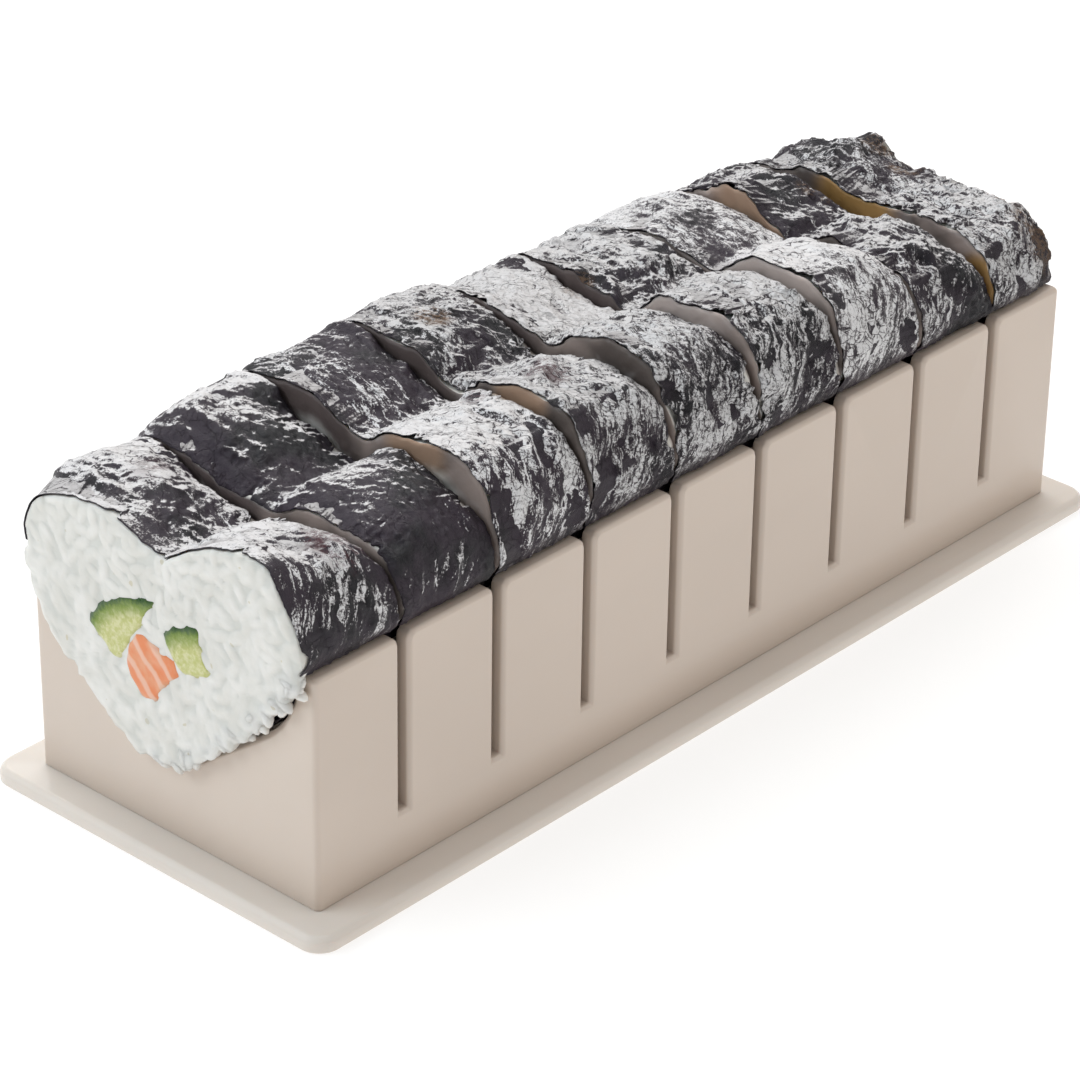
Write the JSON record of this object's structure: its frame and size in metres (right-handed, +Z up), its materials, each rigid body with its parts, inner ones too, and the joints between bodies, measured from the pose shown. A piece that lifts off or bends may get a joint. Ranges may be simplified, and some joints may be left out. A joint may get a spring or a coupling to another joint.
{
  "type": "sushi roll mold",
  "caption": "Long slotted mold frame on a plate, with a heart-section trough insert that holds a sushi roll cut into slices along the knife slits.",
  "frame": {"origin": "middle of the plate's underside", "axes": "+X along the mold, away from the end where the roll's heart face stands proud; +Z up; +Y to the left of someone who looks along +X"},
  "size_m": [0.2182, 0.0826, 0.0708],
  "materials": {
    "plate_plastic": "gloss",
    "frame_plastic": "satin",
    "nori": "satin",
    "rice": "satin",
    "cucumber": "satin",
    "salmon": "satin"
  },
  "bodies": {
    "base": {"base_plate": "plate_plastic"},
    "mold": {"mold_frame": "frame_plastic"},
    "trough": {"trough_insert": "frame_plastic"},
    "slice_1": {"nori_wrap_1": "nori", "rice_core_1": "rice", "cucumber_left_1": "cucumber", "cucumber_right_1": "cucumber", "salmon_1": "salmon"},
    "slice_2": {"nori_wrap_2": "nori", "rice_core_2": "rice", "cucumber_left_2": "cucumber", "cucumber_right_2": "cucumber", "salmon_2": "salmon"},
    "slice_3": {"nori_wrap_3": "nori", "rice_core_3": "rice", "cucumber_left_3": "cucumber", "cucumber_right_3": "cucumber", "salmon_3": "salmon"},
    "slice_4": {"nori_wrap_4": "nori", "rice_core_4": "rice", "cucumber_left_4": "cucumber", "cucumber_right_4": "cucumber", "salmon_4": "salmon"},
    "slice_5": {"nori_wrap_5": "nori", "rice_core_5": "rice", "cucumber_left_5": "cucumber", "cucumber_right_5": "cucumber", "salmon_5": "salmon"},
    "slice_6": {"nori_wrap_6": "nori", "rice_core_6": "rice", "cucumber_left_6": "cucumber", "cucumber_right_6": "cucumber", "salmon_6": "salmon"},
    "slice_7": {"nori_wrap_7": "nori", "rice_core_7": "rice", "cucumber_left_7": "cucumber", "cucumber_right_7": "cucumber", "salmon_7": "salmon"},
    "slice_8": {"nori_wrap_8": "nori", "rice_core_8": "rice", "cucumber_left_8": "cucumber", "cucumber_right_8": "cucumber", "salmon_8": "salmon"},
    "slice_9": {"nori_wrap_9": "nori", "rice_core_9": "rice", "cucumber_left_9": "cucumber", "cucumber_right_9": "cucumber", "salmon_9": "salmon"}
  },
  "joints": [
    {"name": "mold_lift", "type": "slide", "parent": "base", "child": "mold", "axis": [0, 0, 1], "range_m": [0, 0.06]},
    {"name": "trough_lift", "type": "slide", "parent": "mold", "child": "trough", "axis": [0, 0, 1], "range_m": [0, 0.06]},
    {"name": "slice_1_lift", "type": "slide", "parent": "trough", "child": "slice_1", "axis": [0, 0, 1], "range_m": [0, 0.06]},
    {"name": "slice_2_lift", "type": "slide", "parent": "trough", "child": "slice_2", "axis": [0, 0, 1], "range_m": [0, 0.06]},
    {"name": "slice_3_lift", "type": "slide", "parent": "trough", "child": "slice_3", "axis": [0, 0, 1], "range_m": [0, 0.06]},
    {"name": "slice_4_lift", "type": "slide", "parent": "trough", "child": "slice_4", "axis": [0, 0, 1], "range_m": [0, 0.06]},
    {"name": "slice_5_lift", "type": "slide", "parent": "trough", "child": "slice_5", "axis": [0, 0, 1], "range_m": [0, 0.06]},
    {"name": "slice_6_lift", "type": "slide", "parent": "trough", "child": "slice_6", "axis": [0, 0, 1], "range_m": [0, 0.06]},
    {"name": "slice_7_lift", "type": "slide", "parent": "trough", "child": "slice_7", "axis": [0, 0, 1], "range_m": [0, 0.06]},
    {"name": "slice_8_lift", "type": "slide", "parent": "trough", "child": "slice_8", "axis": [0, 0, 1], "range_m": [0, 0.06]},
    {"name": "slice_9_lift", "type": "slide", "parent": "trough", "child": "slice_9", "axis": [0, 0, 1], "range_m": [0, 0.06]}
  ]
}
